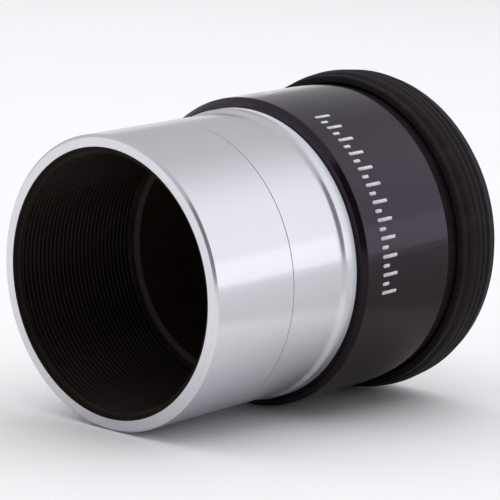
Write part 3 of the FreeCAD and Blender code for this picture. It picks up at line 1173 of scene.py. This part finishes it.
@dataclass
class Eyecup:
    """The rubber eyecup: a base that turns on the eye cap, and a ribbed skirt folded forward over it."""

    base_wall: float = 1.45
    core_clearance: float = 0.08
    mouth_edge: float = 0.08
    pocket_edge: float = 0.1
    hidden_edge: float = 0.05
    edge: float = 0.15
    rounding: float = 0.55
    lip_length: float = 0.8
    skirt_gap: float = 0.3
    lip_round: float = 0.5
    lip_step: float = 0.85
    lip_drop: float = 0.23
    lip_valley: float = 0.1
    lip_edge: float = 0.12
    valley_edge: float = 0.06
    first_rib: float = 1.3
    rib_pitch: float = 0.98
    rib_height: float = 0.17
    narrow_ribs: int = 3
    taper: float = 0.1
    tail_length: float = 0.86
    tail_drop: float = 0.2
    tail_round: float = 0.3
    tail_edge: float = 0.1
    fold_overlap: float = 0.35
    fold_lift: float = 0.1
    fold_depth: float = 0.05
    fold_bulge: float = 0.12
    fold_steps: int = 6

    def build(self) -> None:
        """Make the base, the skirt and the fold between them."""
        base = Span.of("eyecup_base")
        cap = Span.of("eye_cap")
        self.base(base, cap)
        self.skirt(Span.of("eyecup_skirt"), base.radius + self.skirt_gap)
        self.fold(Span.of("eyecup_skirt"), base)

    def base(self, span: Span, cap: Span) -> None:
        """The sleeve on the cap, whose front end shows as a neck behind the body.

        Args:
            span: Where the CAD base lies.
            cap: Where the eye cap lies.
        """
        bore = span.radius - self.base_wall
        pocket = cap.radius + self.core_clearance
        pocket_front = cap.rear - self.lip_length - self.core_clearance
        outline = Outline()
        outline.corner(span.front, bore, self.mouth_edge)
        outline.corner(span.front, span.radius, self.edge)
        outline.corner(span.rear, span.radius, self.rounding)
        outline.corner(span.rear, pocket, self.pocket_edge)
        outline.corner(pocket_front, pocket, self.hidden_edge)
        outline.corner(pocket_front, bore, self.hidden_edge)
        piece = Lathe("rubber_base", outline).make()
        finish_piece(piece, BlackRubber(), "eyecup", ["eyecup_base"])

    def skirt(self, span: Span, bore: float) -> None:
        """The folded skirt with its lip and ribs.

        Args:
            span: Where the CAD skirt lies.
            bore: Its inner radius.
        """
        valley = span.radius - self.rib_height
        lip = valley - self.lip_drop
        outline = Outline()
        outline.corner(span.front, bore, self.lip_edge)
        outline.corner(span.front, lip, self.lip_round)
        outline.corner(span.front + self.lip_step, lip - self.lip_valley, self.valley_edge)
        rear = span.front + self.lip_step + self.first_rib
        outline.bulge(rear, valley, self.rib_height)
        for rib in range(1, self.narrow_ribs + 1):
            outline.bulge(rear + self.rib_pitch * rib, valley - self.taper * rib, self.rib_height)
        tail = rear + self.rib_pitch * self.narrow_ribs
        radius = valley - self.taper * self.narrow_ribs
        outline.corner(tail + self.tail_length, radius - self.tail_drop, self.tail_round)
        outline.corner(span.rear - self.hidden_edge, bore, self.tail_edge)
        piece = Lathe("rubber_skirt", outline).make()
        finish_piece(piece, BlackRubber(), "skirt", ["eyecup_skirt"])

    def fold(self, skirt: Span, base: Span) -> None:
        """The soft fold that joins the skirt to the base.

        Args:
            skirt: Where the CAD skirt lies.
            base: Where the CAD base lies.
        """
        front = skirt.rear - self.fold_overlap
        rear = base.rear - self.rounding
        outer = base.radius + self.skirt_gap + self.fold_lift
        inner = base.radius - self.fold_depth
        outline = Outline()
        outline.corner(front, inner, self.fold_depth)
        outline.corner(front, outer, self.fold_lift)
        outline.bulge(rear + self.fold_lift, inner, self.fold_bulge, self.fold_steps)
        piece = Lathe("rubber_fold", outline).make()
        finish_piece(piece, BlackRubber(), None)
        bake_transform(piece)


@dataclass(frozen=True)
class Glow:
    """A soft patch of one colour in the room's light, towards one direction."""

    aim: tuple[float, float, float]
    low: float
    high: float
    colour: Colour


@dataclass
class Panel:
    """A soft light panel of even brightness."""

    name: str
    place: tuple[float, float, float]
    target: tuple[float, float, float]
    width: float
    height: float
    radiance: float
    colour: Colour = (1.0, 1.0, 1.0)
    mirrored: bool = True

    def make(self) -> bpy.types.Object:
        """The panel as an area light, whose power follows from its brightness and size, in metres.

        Returns:
            The lamp.
        """
        lamp = bpy.data.lights.new(self.name, "AREA")
        lamp.shape = "RECTANGLE"
        lamp.size = self.width
        lamp.size_y = self.height
        lamp.energy = self.radiance * 4 / math.pi * self.width * self.height
        lamp.color = self.colour
        made = bpy.data.objects.new(self.name, lamp)
        made.location = self.place
        aim = Vector(self.target) - Vector(self.place)
        made.rotation_euler = aim.to_track_quat("-Z", "Y").to_euler()
        made.visible_camera = False
        made.visible_glossy = self.mirrored
        bpy.context.scene.collection.objects.link(made)
        return made


@dataclass
class Studio:
    """The floor, the light and the camera."""

    azimuth: float = 42.6
    elevation: float = 11.94
    lens: float = 194.33
    sensor: float = 36.0
    rim_in_view: tuple[float, float, float] = (-15.008, -3.622, 283.095)
    floor_size: float = 3.0
    rim_chamfer: float = 0.28
    resting_rib: float = 2.2
    tent: Colour = (0.625, 0.63, 0.645)
    backdrop: Glow = Glow((-0.70, 0.71, -0.06), 0.955, 0.998, (1.15, 1.15, 1.16))
    side_light: Glow = Glow((0.69, 0.72, 0.0), 0.35, 0.85, (1.09, 1.12, 1.16))
    opening: Glow = Glow((0.80, -0.42, 0.42), 0.79, 0.87, (0.09, 0.09, 0.105))

    def build(self) -> None:
        """Make everything round the object."""
        self.camera()
        self.floor()
        self.world()
        for panel in self.panels():
            panel.make()
        view = bpy.context.scene.view_settings
        view.view_transform = "Standard"
        view.look = "None"

    def axes(self) -> tuple[Vector, Vector, Vector]:
        """The camera's right, up and forward directions.

        Returns:
            Three unit vectors, in that order.
        """
        turn, tilt = math.radians(self.azimuth), math.radians(self.elevation)
        right = Vector((math.cos(turn), math.sin(turn), 0))
        forward = Vector((-math.sin(turn) * math.cos(tilt), math.cos(turn) * math.cos(tilt), -math.sin(tilt)))
        return right, right.cross(forward), forward

    def camera(self) -> None:
        """The camera, placed by where it sees the centre of the open rim."""
        right, up, forward = self.axes()
        across, painted_lit_top, ahead = (value * MM for value in self.rim_in_view)
        rim = Vector((0, CAD_BOX[0][1], 0))
        place = rim - right * across - up * painted_lit_top - forward * ahead
        data = bpy.data.cameras.new("camera")
        data.lens = self.lens
        data.sensor_width = self.sensor
        data.clip_start = 0.01
        data.clip_end = 20.0
        camera = bpy.data.objects.new("camera", data)
        rotation = Matrix((right, up, -forward)).transposed().to_4x4()
        camera.matrix_world = Matrix.Translation(place) @ rotation
        bpy.context.scene.collection.objects.link(camera)
        bpy.context.scene.camera = camera

    def floor(self) -> None:
        """A flat sheet of paper that the eyepiece lies on, with its rim and its ribs."""
        rim = Span.of("front_sleeve")
        ribs = Span.of("eyecup_skirt")
        front = Vector((0, rim.front + self.rim_chamfer, -rim.radius)) * MM
        back = Vector((0, ribs.front + self.resting_rib, -ribs.radius)) * MM
        slope = (back - front).normalized()
        side = Vector((1, 0, 0))
        centre = (front + back) / 2
        half = self.floor_size / 2
        signs = ((-1, -1), (1, -1), (1, 1), (-1, 1))
        corners = [centre + side * half * x + slope * half * y for x, y in signs]
        mesh = bpy.data.meshes.new("floor")
        mesh.from_pydata(corners, [], [(0, 1, 2, 3)])
        made = bpy.data.objects.new("floor", mesh)
        bpy.context.scene.collection.objects.link(made)
        mesh.materials.append(PalePaper().material())

    def world(self) -> None:
        """A light tent, brighter on one side and behind, with a dark opening on the camera's side."""
        world = bpy.data.worlds.new("room")
        bpy.context.scene.world = world
        world.use_nodes = True
        kit = ShaderKit(world.node_tree)
        shade: Signal | Colour = self.tent
        for glow in (self.backdrop, self.side_light, self.opening):
            share = self.towards(kit, glow.aim).ramp(glow.low, glow.high)
            shade = kit.mixed(share, shade, glow.colour)
        light = kit.node("ShaderNodeBackground", {}, {"Color": shade})
        kit.node("ShaderNodeOutputWorld", {}, {"Surface": light})

    def towards(self, kit: ShaderKit, aim: tuple[float, float, float]) -> Signal:
        """How nearly each direction of the room points one way.

        Args:
            kit: The room's shader.
            aim: The direction.

        Returns:
            1 in that direction and 0 square to it.
        """
        direction = kit.node("ShaderNodeTexCoord", {}, {}, "Generated")
        inputs = {0: direction, 1: tuple(Vector(aim).normalized())}
        return kit.node("ShaderNodeVectorMath", {"operation": "DOT_PRODUCT"}, inputs, "Value")

    def panels(self) -> list[Panel]:
        """A low panel that ends the side light sharply at the floor, and a panel overhead for the floor.

        Returns:
            The side panel and the overhead panel.
        """
        side = Panel(
            "side_panel",
            place=(0.084, 0.246, 0.012),
            target=(-0.079, 0.076, 0.012),
            width=0.38,
            height=0.07,
            radiance=0.55,
            colour=self.side_light.colour,
        )
        overhead = Panel(
            "overhead_panel",
            place=(-0.1, 0.15, 0.7),
            target=(-0.1, 0.15, 0),
            width=1.4,
            height=1.4,
            radiance=2.2,
            mirrored=False,
        )
        return [side, overhead]


def main() -> None:
    """Build the pieces in order, from the nosepiece to the eyecup, and the studio round them."""
    logging.basicConfig(level=logging.INFO, format="%(name)s: %(message)s")
    for assembly in (Studio(), Nosepiece(), LightPath(), Body(), EyeEnd(), Eyecup()):
        assembly.build()
        LOG.info("%s done", type(assembly).__name__)


if __name__ == "__main__":
    main()
